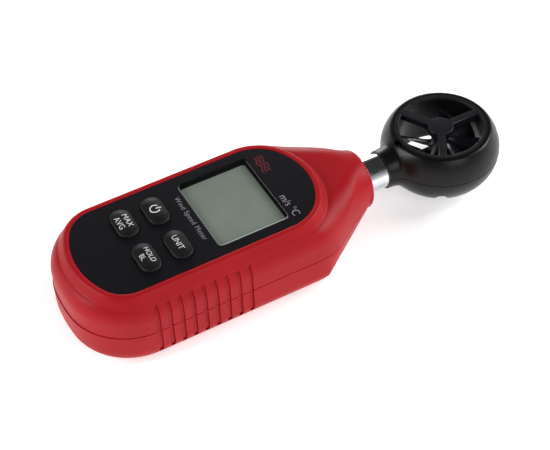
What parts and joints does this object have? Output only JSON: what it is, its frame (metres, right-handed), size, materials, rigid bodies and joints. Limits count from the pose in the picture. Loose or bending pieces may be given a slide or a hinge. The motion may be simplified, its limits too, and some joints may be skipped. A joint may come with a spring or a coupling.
{
  "type": "vane anemometer",
  "caption": "Hand-held vane anemometer: shouldered case with display and keys, plated neck tube and a round guarded head with a spinning impeller.",
  "frame": {"origin": "under the middle of the overall box, on the plane the back of the case rests on", "axes": "+Y from the battery end towards the vane head, +Z out of the display, +X to the right of a reader whose up is +Y"},
  "size_m": [0.05, 0.16, 0.0294],
  "materials": {
    "red_case": "satin moulded",
    "black_case": "satin moulded",
    "panel_black": "matte printed film",
    "clear_lens": "clear, gloss",
    "lcd": "matte polariser",
    "white_plastic": "diffusing",
    "elastomer": "matte",
    "board_green": "solder mask",
    "chip_black": "moulded",
    "key_rubber": "matte",
    "cell_can": "printed sleeve",
    "spring_steel": "nickel plated",
    "screw_steel": "zinc plated",
    "chrome_tube": "mirror polished",
    "guard_black": "satin moulded",
    "bearing_brass": "turned",
    "rotor_plastic": "satin moulded",
    "shaft_steel": "ground",
    "magnet": "sintered",
    "bead_glass": "sealed bead",
    "lead_sleeve": "extruded"
  },
  "bodies": {
    "instrument": {"upper_case": "red_case", "lower_case": "red_case", "front_panel": "panel_black", "display_window": "clear_lens", "lcd_glass": "lcd", "lcd_backlight": "white_plastic", "zebra_strip": "elastomer", "circuit_board": "board_green", "microcontroller": "chip_black", "key_switches": "chip_black", "battery_1": "cell_can", "battery_2": "cell_can", "battery_3": "cell_can", "battery_springs": "spring_steel", "battery_plates": "spring_steel", "case_screws": "screw_steel", "neck_tube": "chrome_tube", "head_upper_shell": "black_case", "head_lower_shell": "black_case", "front_guard": "guard_black", "rear_guard": "guard_black", "front_bearing": "bearing_brass", "rear_bearing": "bearing_brass", "head_board": "board_green", "hall_sensor": "chip_black", "thermistor": "bead_glass", "head_screws": "screw_steel", "lead_plug": "white_plastic", "sensor_lead": "lead_sleeve"},
    "rotor": {"impeller": "rotor_plastic", "impeller_shaft": "shaft_steel", "rotor_magnet": "magnet"},
    "door": {"battery_door": "red_case"},
    "power_button_body": {"power_button": "key_rubber"},
    "unit_button_body": {"unit_button": "key_rubber"},
    "max_avg_button_body": {"max_avg_button": "key_rubber"},
    "hold_button_body": {"hold_button": "key_rubber"}
  },
  "joints": [
    {"name": "impeller_spin", "type": "hinge", "parent": "instrument", "child": "rotor", "pos_m": [0, 0.0598, 0.014], "axis": [0, 0, 1], "continuous": true},
    {"name": "battery_door_slide", "type": "slide", "parent": "instrument", "child": "door", "axis": [0, -1, 0], "range_m": [0, 0.008]},
    {"name": "power_button_press", "type": "slide", "parent": "instrument", "child": "power_button_body", "axis": [0, 0, -1], "range_m": [0, 0.0006], "stiffness_N_per_m": 1500},
    {"name": "unit_button_press", "type": "slide", "parent": "instrument", "child": "unit_button_body", "axis": [0, 0, -1], "range_m": [0, 0.0006], "stiffness_N_per_m": 1500},
    {"name": "max_avg_button_press", "type": "slide", "parent": "instrument", "child": "max_avg_button_body", "axis": [0, 0, -1], "range_m": [0, 0.0006], "stiffness_N_per_m": 1500},
    {"name": "hold_button_press", "type": "slide", "parent": "instrument", "child": "hold_button_body", "axis": [0, 0, -1], "range_m": [0, 0.0006], "stiffness_N_per_m": 1500}
  ]
}
